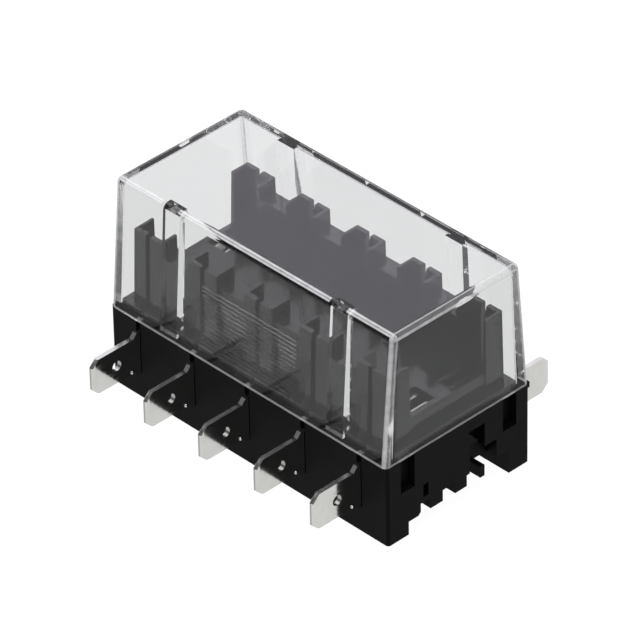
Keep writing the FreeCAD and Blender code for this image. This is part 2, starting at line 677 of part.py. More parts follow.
def make_cover(sizes):
    """Clear moulded cover: a leaning-sided box, open below, with four guide posts inside."""
    body = make_body("cover")
    roof = sizes.get("cover_top")
    ceiling = roof - sizes.get("cover_wall")
    half_top = "(" + COVER_HALF_WIDTH + " - Sizes.cover_lean)"
    sketch = long_section(body, "shell_section", half_top, "Sizes.cover_lean", "Sizes.cover_top")
    pad(body, "shell", sketch, "2 * " + COVER_HALF_LENGTH, symmetric=True)

    def outer(one, two):
        on_roof = abs(one.z - roof) < NEAR and abs(two.z - roof) < NEAR
        return on_roof or upright(one, two)

    round_edges(body, "outer_edges", outer, "Sizes.cover_edge")
    high = "(Sizes.cover_top - Sizes.cover_wall)"
    sketch = long_section(body, "cavity_section", CAVITY_HALF_TOP, "Sizes.cavity_lean", high)
    pocket(body, "cavity", sketch, "2 * (" + COVER_HALF_LENGTH + " - Sizes.cover_wall)", symmetric=True)

    def inner(one, two):
        tops = [abs(one.z - ceiling) < NEAR, abs(two.z - ceiling) < NEAR]
        return all(tops) or (any(tops) and upright(one, two))

    round_edges(body, "inner_edges", inner, "Sizes.cover_inner_edge")
    guide_posts(body, "posts_left", "-" + POST_PLACE)
    guide_posts(body, "posts_right", POST_PLACE)
    return body


def check_document(pieces):
    """Stop with a message if any object failed or any piece has no sound solid."""
    for item in doc.Objects:
        if "Invalid" in item.State or "Error" in item.State:
            raise RuntimeError("%s failed: %s" % (item.Label, item.State))
    for piece in pieces:
        shape = piece.Shape
        if shape.isNull() or not shape.isValid() or len(shape.Solids) != 1:
            raise RuntimeError("%s has no single valid solid" % piece.Label)


def write_pieces(pieces):
    """One STEP file for each piece, named by its label."""
    os.makedirs("parts", exist_ok=True)
    for piece in pieces:
        piece.Shape.exportStep(os.path.join("parts", piece.Label + ".step"))
        box = piece.Shape.BoundBox
        print("%-18s %9.2f mm3  x %.2f..%.2f  y %.2f..%.2f  z %.2f..%.2f" % (
            piece.Label, piece.Shape.Volume, box.XMin, box.XMax, box.YMin, box.YMax, box.ZMin, box.ZMax))


def build():
    """Make every piece, check it and write it."""
    sizes = make_sizes()
    pieces = [make_housing(), make_cover(sizes)]
    for way in range(int(sizes.get("ways"))):
        pieces.append(make_terminal("terminal_front_%d" % (way + 1), way, False, sizes))
        pieces.append(make_terminal("terminal_rear_%d" % (way + 1), way, True, sizes))
    doc.recompute()
    check_document(pieces)
    write_pieces(pieces)


build()
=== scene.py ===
# %% [markdown]
# # Blade fuse block under its clear cover
# The object is a black moulded block for five blade fuses. Ten tinned terminals come out of
# its long sides, and a clear cover stands on it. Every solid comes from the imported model, so
# this file gives the solids their finishes, adds the fine ribs of the cover and the small pips
# of the tabs, and lights them.

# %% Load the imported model
import math

import bpy
from mathutils import Matrix, Vector


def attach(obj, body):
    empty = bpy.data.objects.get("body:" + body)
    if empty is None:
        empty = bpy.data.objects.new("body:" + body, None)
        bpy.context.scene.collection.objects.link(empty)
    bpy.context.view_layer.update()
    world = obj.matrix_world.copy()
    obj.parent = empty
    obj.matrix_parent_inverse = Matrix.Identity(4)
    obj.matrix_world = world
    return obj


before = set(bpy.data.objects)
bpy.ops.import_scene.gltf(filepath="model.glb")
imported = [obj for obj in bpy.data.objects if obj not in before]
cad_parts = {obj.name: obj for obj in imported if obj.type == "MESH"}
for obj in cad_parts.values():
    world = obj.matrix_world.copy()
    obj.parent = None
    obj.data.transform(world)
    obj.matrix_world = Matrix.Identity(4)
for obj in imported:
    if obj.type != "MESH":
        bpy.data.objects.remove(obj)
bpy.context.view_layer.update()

MM = 0.001

# %% [markdown]
# ## Camera
# The view is a long-lens product shot from above one corner. The angle, the distance and the
# lens were worked out from corners of the cover and of the tabs, so straight edges converge
# as little as they do in the picture. A camera could also be aimed with a Track To constraint,
# but a matrix made from its three axes keeps the small roll of the picture.

# %% Place the camera
CAMERA_AZIMUTH = math.radians(46.373)
CAMERA_ELEVATION = math.radians(35.818)
CAMERA_ROLL = math.radians(-1.133)
CAMERA_DISTANCE = 966.9 * MM
CAMERA_TARGET = Vector((0.04, 0.0, 19.95)) * MM
# lens and sensor in millimetres, as Blender counts them
CAMERA_LENS = 360.0
SENSOR_WIDTH = 36.0
CAMERA_SHIFT = (0.0035, -0.0093)
NEAREST = 10 * MM
FARTHEST = 10.0


def camera_axes(azimuth, elevation, roll):
    """Right, up and back axes of a camera that looks at the target."""
    back = Vector((
        math.sin(azimuth) * math.cos(elevation),
        -math.cos(azimuth) * math.cos(elevation),
        math.sin(elevation),
    ))
    level = Vector((math.cos(azimuth), math.sin(azimuth), 0.0))
    right = level * math.cos(roll) + back.cross(level) * math.sin(roll)
    return right, back.cross(right), back


def place_camera():
    """Camera at the picture's viewing angle, made active."""
    right, up, back = camera_axes(CAMERA_AZIMUTH, CAMERA_ELEVATION, CAMERA_ROLL)
    data = bpy.data.cameras.new("studio_camera")
    data.lens = CAMERA_LENS
    data.sensor_width = SENSOR_WIDTH
    data.shift_x, data.shift_y = CAMERA_SHIFT
    data.clip_start = NEAREST
    data.clip_end = FARTHEST
    camera = bpy.data.objects.new("studio_camera", data)
    bpy.context.scene.collection.objects.link(camera)
    turn = Matrix((right, up, back)).transposed().to_4x4()
    camera.matrix_world = Matrix.Translation(CAMERA_TARGET + back * CAMERA_DISTANCE) @ turn
    bpy.context.scene.camera = camera
    return camera


camera = place_camera()
print("camera at", [round(value, 3) for value in camera.location])

# %% [markdown]
# ## Helpers for materials
# Every finish here is a small node tree made in code, and the same few steps come back in each
# of them. Node groups could hold these steps, but short functions are easier to read. The
# first ones start a material, show a shader, do arithmetic and take a vector apart.

# %% Start and show a material
def new_material(name):
    """Material with an empty node tree, its node list and its link function."""
    material = bpy.data.materials.new(name)
    material.use_nodes = True
    tree = material.node_tree
    tree.nodes.clear()
    return material, tree.nodes, tree.links.new


def show(nodes, link, shader):
    """Make a shader the surface of its material."""
    output = nodes.new("ShaderNodeOutputMaterial")
    link(shader, output.inputs["Surface"])


def calculator(nodes, link):
    """Function that adds a Math node, with sockets or plain numbers as its values."""
    def maths(operation, *values):
        node = nodes.new("ShaderNodeMath")
        node.operation = operation
        for place, value in enumerate(values):
            if isinstance(value, (int, float)):
                node.inputs[place].default_value = value
            else:
                link(value, node.inputs[place])
        return node.outputs["Value"]
    return maths


def split(nodes, link, vector):
    """The three sockets X, Y and Z of a vector."""
    parts = nodes.new("ShaderNodeSeparateXYZ")
    link(vector, parts.inputs["Vector"])
    return parts.outputs


print("helpers: new_material, show, calculator, split")

# %% [markdown]
# A colour ramp is the easiest way to draw a curve of brightness, and mixing shaders is
# the way to have two finishes on one solid.

# %% Ramps and mixed shaders
def grey_ramp(nodes, link, factor, stops):
    """Brightness read from stops, each a place from 0 to 1 and its brightness."""
    ramp = nodes.new("ShaderNodeValToRGB")
    elements = ramp.color_ramp.elements
    while len(elements) < len(stops):
        elements.new(0.5)
    for element, (place, brightness) in zip(elements, stops):
        element.position = place
        element.color = (brightness, brightness, brightness, 1.0)
    link(factor, ramp.inputs["Fac"])
    return ramp.outputs["Color"]


def mix_shaders(nodes, link, share, first, second):
    """Two shaders as one, all first at a share of 0 and all second at 1."""
    mixer = nodes.new("ShaderNodeMixShader")
    link(share, mixer.inputs["Fac"])
    link(first, mixer.inputs[1])
    link(second, mixer.inputs[2])
    return mixer.outputs["Shader"]


print("helpers: grey_ramp, mix_shaders")

# %% [markdown]
# ## Floor and light
# The block stands on a pale light table: the floor glows by itself, so it stays as white as
# paper and the shadows on it are faint. A plain white floor could be lit that bright too, but
# then it would glare in the cover. Clear plastic shows itself only by what it mirrors and
# bends, so the surroundings matter more here than the lamps. A Light Path node tells the rays
# apart: the floor is whitest where it is looked at, and greyer where it is seen through the
# plastic, as paper is behind a sheet of it.

# %% Lay the floor
FLOOR_SIZE = 4.0
FLOOR_DROP = 0.02 * MM
FLOOR_COLOUR = (0.06, 0.06, 0.06, 1.0)
FLOOR_ROUGHNESS = 0.85
FLOOR_GLOSS = 0.1
GLOW_COLOUR = (1.0, 1.0, 1.0, 1.0)
GLOW_SEEN = 0.97
GLOW_THROUGH = 0.72
GLOW_ELSE = 0.68


def floor_material():
    """White that glows, and less so where it is mirrored or seen through plastic."""
    material, nodes, link = new_material("white_floor")
    maths = calculator(nodes, link)
    shader = nodes.new("ShaderNodeBsdfPrincipled")
    shader.inputs["Base Color"].default_value = FLOOR_COLOUR
    shader.inputs["Roughness"].default_value = FLOOR_ROUGHNESS
    shader.inputs["Specular IOR Level"].default_value = FLOOR_GLOSS
    shader.inputs["Emission Color"].default_value = GLOW_COLOUR
    ray = nodes.new("ShaderNodeLightPath").outputs
    glow = maths("MULTIPLY_ADD", ray["Is Camera Ray"], GLOW_SEEN - GLOW_ELSE, GLOW_ELSE)
    glow = maths("MULTIPLY_ADD", ray["Is Transmission Ray"], GLOW_THROUGH - GLOW_ELSE, glow)
    link(glow, shader.inputs["Emission Strength"])
    show(nodes, link, shader.outputs["BSDF"])
    return material


def make_floor():
    """Floor plane just under the block."""
    half = FLOOR_SIZE / 2
    around = [(-half, -half), (half, -half), (half, half), (-half, half)]
    mesh = bpy.data.meshes.new("floor")
    mesh.from_pydata([(x, y, -FLOOR_DROP) for x, y in around], [], [(0, 1, 2, 3)])
    mesh.materials.append(floor_material())
    floor = bpy.data.objects.new("floor", mesh)
    bpy.context.scene.collection.objects.link(floor)


make_floor()
print("floor", FLOOR_SIZE, "m across")

# %% [markdown]
# Three soft lamps stand round the block. The one above lights the fuse seats through the roof.
# The one behind is mirrored by the roof, and its faint lilac is the tint that the roof has in
# the picture. The narrow one at the right lights the end of the block. Spot lamps would be
# quicker, but it is the size of an area lamp that makes its reflection soft.

# %% Set up the lamps
NEUTRAL = (1.0, 1.0, 1.0)
LILAC = (1.0, 0.96, 1.08)
LAMPS = [
    # name, azimuth and elevation in degrees, distance, width, height, brightness, colour
    ("overhead_softbox", 250.0, 80.0, 1.2, 1.1, 1.1, 2.4, NEUTRAL),
    ("rear_softbox", 136.4, 38.0, 1.2, 1.0, 0.8, 1.08, LILAC),
    ("right_strip", 350.0, 30.0, 1.0, 0.15, 0.5, 4.0, NEUTRAL),
]


def direction(azimuth, elevation):
    """Direction from the block, with both angles in degrees."""
    around = math.radians(azimuth)
    above = math.radians(elevation)
    level = math.cos(above)
    return Vector((math.cos(around) * level, math.sin(around) * level, math.sin(above)))


def add_lamp(name, azimuth, elevation, distance, width, height, brightness, colour):
    """Rectangular soft lamp that points at the block, as bright as asked over all its face."""
    data = bpy.data.lights.new(name, "AREA")
    data.color = colour
    data.shape = "RECTANGLE"
    data.size = width
    data.size_y = height
    data.energy = brightness * math.pi * width * height
    lamp = bpy.data.objects.new(name, data)
    bpy.context.scene.collection.objects.link(lamp)
    towards = direction(azimuth, elevation)
    lamp.location = CAMERA_TARGET + towards * distance
    lamp.rotation_euler = towards.to_track_quat("Z", "Y").to_euler()


for lamp_values in LAMPS:
    add_lamp(*lamp_values)
print("lamps:", [values[0] for values in LAMPS])

# %% [markdown]
# The room is bright above and dark towards the horizon. That dark zone is what draws the
# black lines beside the bright ones on the rounded edges of the cover. A picture of a studio
# could surround the scene, but a ramp on the height of the view direction is enough for it.

# %% Colour the room
ROOM_RAMP = [
    # height of the direction from -1 to 1, brightness
    (-0.05, 0.9),
    (0.0, 0.12),
    (0.45, 0.16),
    (0.75, 0.9),
    (1.0, 1.0),
]


def colour_room(levels):
    """Surroundings whose brightness depends on the height of the direction only."""
    world = bpy.data.worlds.new("studio_room")
    world.use_nodes = True
    nodes = world.node_tree.nodes
    link = world.node_tree.links.new
    view = split(nodes, link, nodes.new("ShaderNodeTexCoord").outputs["Generated"])
    height = nodes.new("ShaderNodeMapRange")
    height.inputs["From Min"].default_value = -1.0
    height.inputs["From Max"].default_value = 1.0
    link(view["Z"], height.inputs["Value"])
    stops = [((level + 1) / 2, brightness) for level, brightness in levels]
    colour = grey_ramp(nodes, link, height.outputs["Result"], stops)
    link(colour, nodes["Background"].inputs["Color"])
    bpy.context.scene.world = world


colour_room(ROOM_RAMP)
bpy.context.scene.view_settings.view_transform = "Standard"
print("room ramp:", len(ROOM_RAMP), "stops")

# %% [markdown]
# Light that enters the edge of a clear wall is mirrored from face to face until it leaves
# somewhere else, and that is why the edges of such a cover shine. With the usual four mirror
# bounces the path would end too early and the edges would turn black, so it may be longer.

# %% Allow long light paths
LONGEST_PATH = 24

paths = bpy.context.scene.cycles
paths.max_bounces = LONGEST_PATH
paths.glossy_bounces = LONGEST_PATH
paths.transmission_bounces = LONGEST_PATH
print("light paths:", paths.max_bounces, "bounces")

# %% [markdown]
# ## Noise and bumps
# No real surface has one even gloss. A noise texture on the object coordinates makes the gloss
# drift and the grain rise, so nothing repeats and no picture file is needed.

# %% Noise, ranges and bumps
NOISE_LOW = 0.3
NOISE_HIGH = 0.7


def noise(nodes, link, coordinates, scale, detail):
    """Noise texture on object coordinates."""
    texture = nodes.new("ShaderNodeTexNoise")
    texture.inputs["Scale"].default_value = scale
    texture.inputs["Detail"].default_value = detail
    link(coordinates, texture.inputs["Vector"])
    return texture.outputs["Fac"]


def spread(nodes, link, factor, low, high):
    """Noise factor turned into a range of values."""
    ranger = nodes.new("ShaderNodeMapRange")
    ranger.inputs["From Min"].default_value = NOISE_LOW
    ranger.inputs["From Max"].default_value = NOISE_HIGH
    ranger.inputs["To Min"].default_value = low
    ranger.inputs["To Max"].default_value = high
    link(factor, ranger.inputs["Value"])
    return ranger.outputs["Result"]


def bump(nodes, link, height, strength, depth, under=None):
    """Normal bent by a height, with its depth in metres, on top of another if there is one."""
    node = nodes.new("ShaderNodeBump")
    node.inputs["Strength"].default_value = strength
    node.inputs["Distance"].default_value = depth
    link(height, node.inputs["Height"])
    if under is not None:
        link(under, node.inputs["Normal"])
    return node.outputs["Normal"]


print("noise is used from", NOISE_LOW, "to", NOISE_HIGH)

# %% [markdown]
# ## Black moulded plastic
# The block is a glass-filled black plastic. The mould is spark-eroded outside, which leaves
# the walls matt and grainy, and polished where it forms the guides under the cover, which show
# faint reflections. Two materials on parts of the mesh would do, but the mesh stays as it is
# packed, so two shaders in one material are told apart by height.

# %% Black plastic
DARKEST = (0.0022, 0.0023, 0.0024, 1.0)
LIGHTEST = (0.0048, 0.0050, 0.0052, 1.0)
DRIFT_SCALE = 260.0
GRAIN_SCALE = 5200.0
GRAIN_STRENGTH = 0.25
GRAIN_DEPTH = 0.02 * MM
POLISHED_ABOVE = 14.6 * MM
# specular level, smallest and largest roughness
MATT_FINISH = (0.05, 0.38, 0.5)
POLISHED_FINISH = (0.3, 0.1, 0.18)


def plastic_shader(nodes, link, finish, drift, tint):
    """Shader of one finish of the black plastic."""
    gloss, smoothest, roughest = finish
    shader = nodes.new("ShaderNodeBsdfPrincipled")
    shader.inputs["Specular IOR Level"].default_value = gloss
    link(tint, shader.inputs["Base Color"])
    link(spread(nodes, link, drift, smoothest, roughest), shader.inputs["Roughness"])
    return shader


def black_plastic():
    """Black moulded plastic, matt outside and polished on the guides under the cover."""
    material, nodes, link = new_material("black_moulding")
    maths = calculator(nodes, link)
    place = nodes.new("ShaderNodeTexCoord").outputs["Object"]
    drift = noise(nodes, link, place, DRIFT_SCALE, detail=3.0)
    tint = nodes.new("ShaderNodeMix")
    tint.data_type = "RGBA"
    tint.inputs["A"].default_value = DARKEST
    tint.inputs["B"].default_value = LIGHTEST
    link(drift, tint.inputs["Factor"])
    matt = plastic_shader(nodes, link, MATT_FINISH, drift, tint.outputs["Result"])
    polished = plastic_shader(nodes, link, POLISHED_FINISH, drift, tint.outputs["Result"])
    grain = noise(nodes, link, place, GRAIN_SCALE, detail=2.0)
    link(bump(nodes, link, grain, GRAIN_STRENGTH, GRAIN_DEPTH), matt.inputs["Normal"])
    inside = maths("GREATER_THAN", split(nodes, link, place)["Z"], POLISHED_ABOVE)
    both = mix_shaders(nodes, link, inside, matt.outputs["BSDF"], polished.outputs["BSDF"])
    show(nodes, link, both)
    return material


def dress(node_name, material):
    """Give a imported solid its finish."""
    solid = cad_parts[node_name]
    solid.data.materials.clear()
    solid.data.materials.append(material)


dress("housing", black_plastic())
print("housing: black plastic")

# %% [markdown]
# ## Tin plate
# The terminals are stamped from brass strip and plated with bright tin. The clips inside get a
# darker tint than the tabs, as painted shade for the fuse sockets round them, and the sheared
# edges are darker than the faces. Painted masks could say where each begins, but Math nodes can
# tell the places apart: a tab by its distance from the middle, and a sheared edge by the
# direction that it faces.

# %% Tint of the tin
TAB_BEGINS = 14.5 * MM
TAB_TIN = 0.7
# the clips are darker as painted shade for the sockets round them
CLIP_TIN_PAINTED_SHADE = 0.3
TIN_HAZE = 0.16
EDGE_DARKENING = -0.3
WARM_TIN = {"Red": 1.0, "Green": 0.995, "Blue": 0.965}
HAZE_SCALE = 420.0


def tin_tint(nodes, link, place, outwards, on_edge):
    """Colour of the tin: painted shade darkens the clips in the sockets, and the sheared edges
    are darker.
    """
    maths = calculator(nodes, link)
    haze_and_painted_light = noise(nodes, link, place, HAZE_SCALE, detail=4.0)
    # painted shade: all tin nearer the middle than the tabs gets the darker clip tint
    tab_outside_painted_shade = maths("GREATER_THAN", outwards, TAB_BEGINS)
    brightness = maths("MULTIPLY_ADD", tab_outside_painted_shade, TAB_TIN - CLIP_TIN_PAINTED_SHADE, CLIP_TIN_PAINTED_SHADE)
    brightness = maths("MULTIPLY_ADD", haze_and_painted_light, TIN_HAZE, brightness)
    brightness = maths("MULTIPLY_ADD", on_edge, EDGE_DARKENING, brightness)
    brightness = maths("MAXIMUM", brightness, CLIP_TIN_PAINTED_SHADE)
    tint = nodes.new("ShaderNodeCombineColor")
    for channel, share in WARM_TIN.items():
        link(maths("MULTIPLY", brightness, share), tint.inputs[channel])
    return tint.outputs["Color"]


print("tin: tabs", TAB_TIN, "clips", CLIP_TIN_PAINTED_SHADE)

# %% [markdown]
# Rolling leaves faint lines along the strip, which soften its mirror image of the white floor
# and the black wall. Noise that is stretched along the strip makes them. The tip of each tab
# is coined, that is pressed thinner towards its end, so that a receptacle slides on easily.
# The bevel on the flat is a sixth of a millimetre deep, so a second bump on top of the lines
# is enough to show it.

# %% Surface of the tin
LINE_SCALE = 3800.0
LINE_STRETCH = (1.0, 0.06, 1.0)
LINE_STRENGTH = 0.12
LINE_DEPTH = 0.02 * MM
SMOOTHEST_TIN = 0.05
ROUGHEST_TIN = 0.13
EDGE_ROUGHNESS = 0.22
TAB_TIP = 25.1 * MM
COINED = 0.75 * MM
COINED_DEPTH = 0.16 * MM


def stretched(nodes, link, coordinates, stretch):
    """Object coordinates stretched along one direction."""
    mapping = nodes.new("ShaderNodeMapping")
    mapping.inputs["Scale"].default_value = stretch
    link(coordinates, mapping.inputs["Vector"])
    return mapping.outputs["Vector"]


def tin_surface(nodes, link, place, outwards, on_edge):
    """Roughness and normal of the tin: rolled faces, rough sheared edges, coined tips."""
    maths = calculator(nodes, link)
    along_strip = stretched(nodes, link, place, LINE_STRETCH)
    lines = noise(nodes, link, along_strip, LINE_SCALE, detail=3.0)
    rolled_roughness = spread(nodes, link, lines, SMOOTHEST_TIN, ROUGHEST_TIN)
    sheared_roughness = maths("MULTIPLY", on_edge, EDGE_ROUGHNESS)
    roughness = maths("MAXIMUM", rolled_roughness, sheared_roughness)
    rolled = bump(nodes, link, lines, LINE_STRENGTH, LINE_DEPTH)
    past_bevel = maths("SUBTRACT", outwards, TAB_TIP - COINED)
    dropped = maths("MINIMUM", maths("DIVIDE", past_bevel, -COINED), 0.0)
    coined = bump(nodes, link, dropped, strength=1.0, depth=COINED_DEPTH, under=rolled)
    return roughness, coined


print("coined tips:", COINED_DEPTH / MM, "mm deep")

# %% [markdown]
# All ten terminals are the same stamping, so they share one material. A single tree that knows
# the tabs and the edges is simpler than a material for each of them.

# %% Tinned terminals
TERMINALS = ["terminal_%s_%d" % (row, way) for row in ("front", "rear") for way in range(1, 6)]
SHEARED_EDGE = 0.5


def tin_plate():
    """Bright tin with faint rolling lines and a slight haze."""
    material, nodes, link = new_material("bright_tin")
    maths = calculator(nodes, link)
    coordinates = nodes.new("ShaderNodeTexCoord").outputs
    place = coordinates["Object"]
    outwards = maths("ABSOLUTE", split(nodes, link, place)["Y"])
    facing = maths("ABSOLUTE", split(nodes, link, coordinates["Normal"])["X"])
    on_edge = maths("LESS_THAN", facing, SHEARED_EDGE)
    shader = nodes.new("ShaderNodeBsdfPrincipled")
    shader.inputs["Metallic"].default_value = 1.0
    link(tin_tint(nodes, link, place, outwards, on_edge), shader.inputs["Base Color"])
    roughness, normal = tin_surface(nodes, link, place, outwards, on_edge)
    link(roughness, shader.inputs["Roughness"])
    link(normal, shader.inputs["Normal"])
    show(nodes, link, shader.outputs["BSDF"])
    return material


tin = tin_plate()
for terminal in TERMINALS:
    dress(terminal, tin)
print("terminals:", len(TERMINALS))

# %% [markdown]
# ## Clear cover
# The cover is moulded from clear plastic with polished faces, and its rounded edges shine in a
# way of their own. The mesh stays as it is packed, so the edges can't be picked by hand. But
# the cover is a plain leaning box whose sizes are known, and Math nodes on the object
# coordinates find each place on it.

# %% Measure the cover
COVER_HALF_LENGTH = 29.85 * MM
RIM_HALF_WIDTH = 15.2 * MM
RIM_HEIGHT = 14.3 * MM
ROOF_HEIGHT = 37.4 * MM
LEAN_PER_HEIGHT = 2.0 / 23.1
OUTER_SKIN = 0.3 * MM


def cover_places(nodes, link, coordinates):
    """Distances from the middle along and across, with the lean taken out, and the height."""
    maths = calculator(nodes, link)
    parts = split(nodes, link, coordinates)
    above_rim = maths("SUBTRACT", parts["Z"], RIM_HEIGHT)
    across = maths("MULTIPLY_ADD", above_rim, LEAN_PER_HEIGHT, maths("ABSOLUTE", parts["Y"]))
    return maths("ABSOLUTE", parts["X"]), across, parts["Z"]


def within(maths, along, across, depth):
    """Masks of what lies at most a depth inside the end faces, and inside the side faces."""
    near_end = maths("GREATER_THAN", along, COVER_HALF_LENGTH - depth)
    near_side = maths("GREATER_THAN", across, RIM_HALF_WIDTH - depth)
    return near_end, near_side


print("cover:", 2 * COVER_HALF_LENGTH / MM, "by", 2 * RIM_HALF_WIDTH / MM, "mm at the rim")

# %% [markdown]
# Three kinds of rounded edge are told apart, because each faces other parts of the room. The
# top edges get no painted light over the guide posts, where the picture shows dark notches. The
# foot is the thin line of light where the rim stands on the ledge, and it is painted too.

# %% Find the rounded edges of the cover
EDGE_RADIUS = 0.95 * MM
RIM_FOOT = 0.42 * MM
POST_PLACE = 18.0 * MM
POST_HALF_WIDTH = 1.8 * MM


def edge_masks(nodes, link, coordinates):
    """Masks, 1 or 0, of the long top edges, end top edges, upright corners and rim foot."""
    maths = calculator(nodes, link)
    along, across, height = cover_places(nodes, link, coordinates)
    at_end, at_side = within(maths, along, across, EDGE_RADIUS)
    at_roof = maths("GREATER_THAN", height, ROOF_HEIGHT - EDGE_RADIUS)
    post_gap = maths("ABSOLUTE", maths("SUBTRACT", along, POST_PLACE))
    beside_posts = maths("GREATER_THAN", post_gap, POST_HALF_WIDTH)
    long_top = maths("MULTIPLY", maths("MULTIPLY", at_side, at_roof), beside_posts)
    end_top = maths("MULTIPLY", at_end, at_roof)
    upright = maths("MULTIPLY", at_end, at_side)
    at_foot = maths("LESS_THAN", height, RIM_HEIGHT + RIM_FOOT)
    outside = maths("MAXIMUM", *within(maths, along, across, OUTER_SKIN))
    return long_top, end_top, upright, maths("MULTIPLY", at_foot, outside)


print("cover edges:", EDGE_RADIUS / MM, "mm radius")

# %% [markdown]
# A rounded edge of clear plastic shows bright and dark lines side by side. Light that is
# trapped in the wall leaves there at some angles and not at others. Following it truly takes
# very many light paths. So the lines are painted light instead: each edge gets a profile of a
# hazy diffuse share across its rounding, from one face, 0, to the other, 1, read from the
# direction that the surface faces.

# %% Painted light across the rounded edges
# ramps of painted light: the bright and dark lines of light bent in each rounded edge
LONG_TOP_PAINTED_LIGHT = [
    (0.0, 0.0), (0.38, 0.0), (0.46, 0.9), (0.6, 0.9), (0.66, 0.45),
    (0.72, 0.45), (0.8, 1.0), (0.93, 0.8), (1.0, 0.0),
]
END_TOP_PAINTED_LIGHT = [
    (0.0, 0.0), (0.1, 0.9), (0.3, 0.8), (0.4, 0.25),
    (0.76, 0.2), (0.83, 0.6), (0.93, 0.5), (1.0, 0.0),
]
UPRIGHT_PAINTED_LIGHT = [
    (0.0, 0.0), (0.08, 0.8), (0.3, 1.0), (0.5, 0.8), (0.58, 0.3),
    (0.7, 0.3), (0.78, 0.6), (0.92, 0.6), (1.0, 0.0),
]
FOOT_PAINTED_LIGHT = 0.5


def painted_light_profile(nodes, link, towards, away, stops):
    """Painted light across an edge whose surface turns from the axis away to the axis towards.
    """
    maths = calculator(nodes, link)
    turn = maths("ARCTAN2", towards, away)
    return grey_ramp(nodes, link, maths("DIVIDE", turn, math.pi / 2), stops)


def edge_lines(nodes, link, masks, normal):
    """Painted light lines of all edges as they look from the front."""
    maths = calculator(nodes, link)
    long_top, end_top, upright, foot = masks
    to_end, to_side, to_roof = [maths("ABSOLUTE", part) for part in split(nodes, link, normal)]
    profiles = [
        (long_top, painted_light_profile(nodes, link, to_roof, to_side, LONG_TOP_PAINTED_LIGHT)),
        (end_top, painted_light_profile(nodes, link, to_roof, to_end, END_TOP_PAINTED_LIGHT)),
        (upright, painted_light_profile(nodes, link, to_end, to_side, UPRIGHT_PAINTED_LIGHT)),
    ]
    haze_and_painted_light = maths("MULTIPLY", foot, FOOT_PAINTED_LIGHT)
    for mask, profile in profiles:
        haze_and_painted_light = maths("MAXIMUM", haze_and_painted_light, maths("MULTIPLY", mask, profile))
    return haze_and_painted_light


print("haze profiles:", len(LONG_TOP_PAINTED_LIGHT), len(END_TOP_PAINTED_LIGHT), len(UPRIGHT_PAINTED_LIGHT), "stops")

# %% [markdown]
# At the outline of the cover the edges look different, because they are seen edge-on: the top
# ones are dark bands and the upright ones are grey. Layer Weight tells how far a face is turned
# away. It fades the painted bright lines out there and a plain painted grey in, little of it on
# top.

# %% Painted grey at the outline
FADE_BEGINS = 0.44
FADE_ENDS = 0.54
OUTLINE_PAINTED_GREY_TOP = 0.16
OUTLINE_PAINTED_GREY_UPRIGHT = 0.75


def painted_edge_light(nodes, link, coordinates, normal):
    """Painted light of all edges of the cover, from 0 on the flat faces to 1."""
    maths = calculator(nodes, link)
    masks = edge_masks(nodes, link, coordinates)
    long_top, end_top, upright = masks[:3]
    turned = nodes.new("ShaderNodeLayerWeight").outputs["Facing"]
    fade = nodes.new("ShaderNodeMapRange")
    fade.inputs["From Min"].default_value = FADE_ENDS
    fade.inputs["From Max"].default_value = FADE_BEGINS
    link(turned, fade.inputs["Value"])
    seen = fade.outputs["Result"]
    shining = maths("MULTIPLY", edge_lines(nodes, link, masks, normal), seen)
    on_top = maths("MULTIPLY", maths("MAXIMUM", long_top, end_top), OUTLINE_PAINTED_GREY_TOP)
    on_upright = maths("MULTIPLY", upright, OUTLINE_PAINTED_GREY_UPRIGHT)
    plain = maths("MAXIMUM", on_top, on_upright)
    return maths("ADD", shining, maths("MULTIPLY", plain, maths("SUBTRACT", 1.0, seen)))


print("outline haze:", OUTLINE_PAINTED_GREY_TOP, "on top,", OUTLINE_PAINTED_GREY_UPRIGHT, "upright")

# %% [markdown]
# Near the upright corners a ray can be mirrored between the walls for so long that it only
# ever meets the dark parts of the room. A real cover scatters some of it on the way, which
# evens the corner out to grey, and a share of hazy diffuse paints that grey light in. A Fresnel
# node above 0.99 finds the faces that trap a ray, and there a strip beside each corner gets the
# painted light. The front left and the rear right corner are outlines in the picture and get it
# in full. The other two get less, because the painted light at the far corner would also
# brighten the dark roof edges next to it.

# %% Painted grey for trapped light
TRAPPED_STRIP = 5.2 * MM
DARK_BELOW_ROOF = 2.2 * MM
TRAPPED_ABOVE = 0.99
TRAPPED_PAINTED_LIGHT = 0.85
OTHER_CORNERS = 0.16
CLEAR_IOR = 1.49


def corner_strips(nodes, link, coordinates):
    """Strips of the outer walls beside the upright corners, 1 or OTHER_CORNERS."""
    maths = calculator(nodes, link)
    along, across, height = cover_places(nodes, link, coordinates)
    outer_end, outer_side = within(maths, along, across, OUTER_SKIN)
    near_end, near_side = within(maths, along, across, TRAPPED_STRIP)
    on_side = maths("MULTIPLY", near_end, outer_side)
    on_end = maths("MULTIPLY", near_side, outer_end)
    below_roof = maths("LESS_THAN", height, ROOF_HEIGHT - DARK_BELOW_ROOF)
    strips = maths("MULTIPLY", maths("MAXIMUM", on_side, on_end), below_roof)
    parts = split(nodes, link, coordinates)
    on_diagonal = maths("GREATER_THAN", maths("MULTIPLY", parts["X"], parts["Y"]), 0.0)
    return maths("MULTIPLY", strips, maths("MAXIMUM", on_diagonal, OTHER_CORNERS))


def painted_trapped_light(nodes, link, coordinates):
    """Painted grey light near the corners, for rays that can't leave the wall."""
    maths = calculator(nodes, link)
    fresnel = nodes.new("ShaderNodeFresnel")
    fresnel.inputs["IOR"].default_value = CLEAR_IOR
    trapped = maths("GREATER_THAN", fresnel.outputs["Fac"], TRAPPED_ABOVE)
    strips = maths("MULTIPLY", corner_strips(nodes, link, coordinates), TRAPPED_PAINTED_LIGHT)
    return maths("MULTIPLY", trapped, strips)


print("trapped light: strips of", TRAPPED_STRIP / MM, "mm beside each corner")
